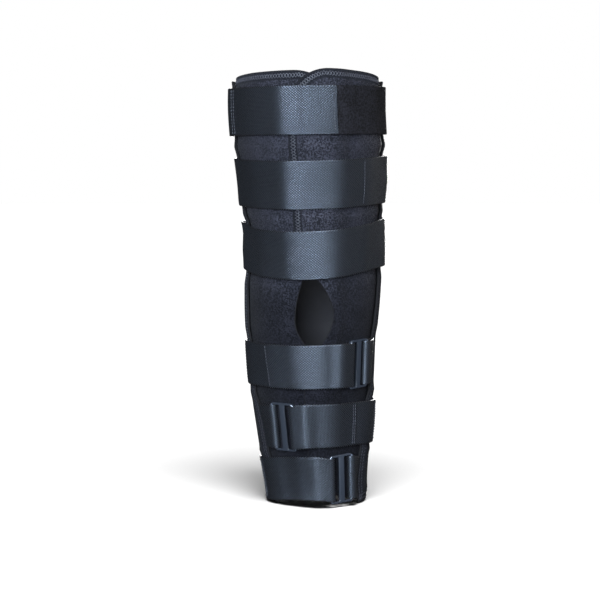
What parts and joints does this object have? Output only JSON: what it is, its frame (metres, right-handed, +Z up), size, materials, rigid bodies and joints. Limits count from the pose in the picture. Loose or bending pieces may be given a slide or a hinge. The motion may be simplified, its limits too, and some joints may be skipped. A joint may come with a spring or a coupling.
{
  "type": "knee immobilizer",
  "caption": "Open-ended padded splint wrapped round a straight leg, thigh to calf, with an almond-shaped kneecap opening and webbing straps, the calf straps through slide buckles.",
  "frame": {"origin": "centre of the leg's hollow at the height of the kneecap opening", "axes": "+Z up the leg towards the thigh, -Y towards the front where the kneecap is, +X to the right seen from the front"},
  "size_m": [0.1703, 0.17, 0.4552],
  "materials": {
    "foam_cloth": "brushed loop cloth over foam, matt black",
    "webbing": "flat woven black webbing with a soft sheen",
    "loop_pile": "fuzzy black loop pile",
    "buckle_plastic": "glossy black moulded plastic"
  },
  "bodies": {
    "root": {"back_panel": "foam_cloth", "calf_low_buckle": "buckle_plastic", "calf_low_strap": "webbing", "calf_low_tab": "webbing", "calf_middle_buckle": "buckle_plastic", "calf_middle_strap": "webbing", "calf_middle_tab": "webbing", "calf_top_buckle": "buckle_plastic", "calf_top_strap": "webbing", "calf_top_tab": "webbing", "left_flap": "foam_cloth", "loop_tape": "loop_pile", "right_flap": "foam_cloth", "thigh_low_strap": "webbing", "thigh_middle_strap": "webbing", "thigh_top_strap": "webbing"}
  },
  "joints": []
}
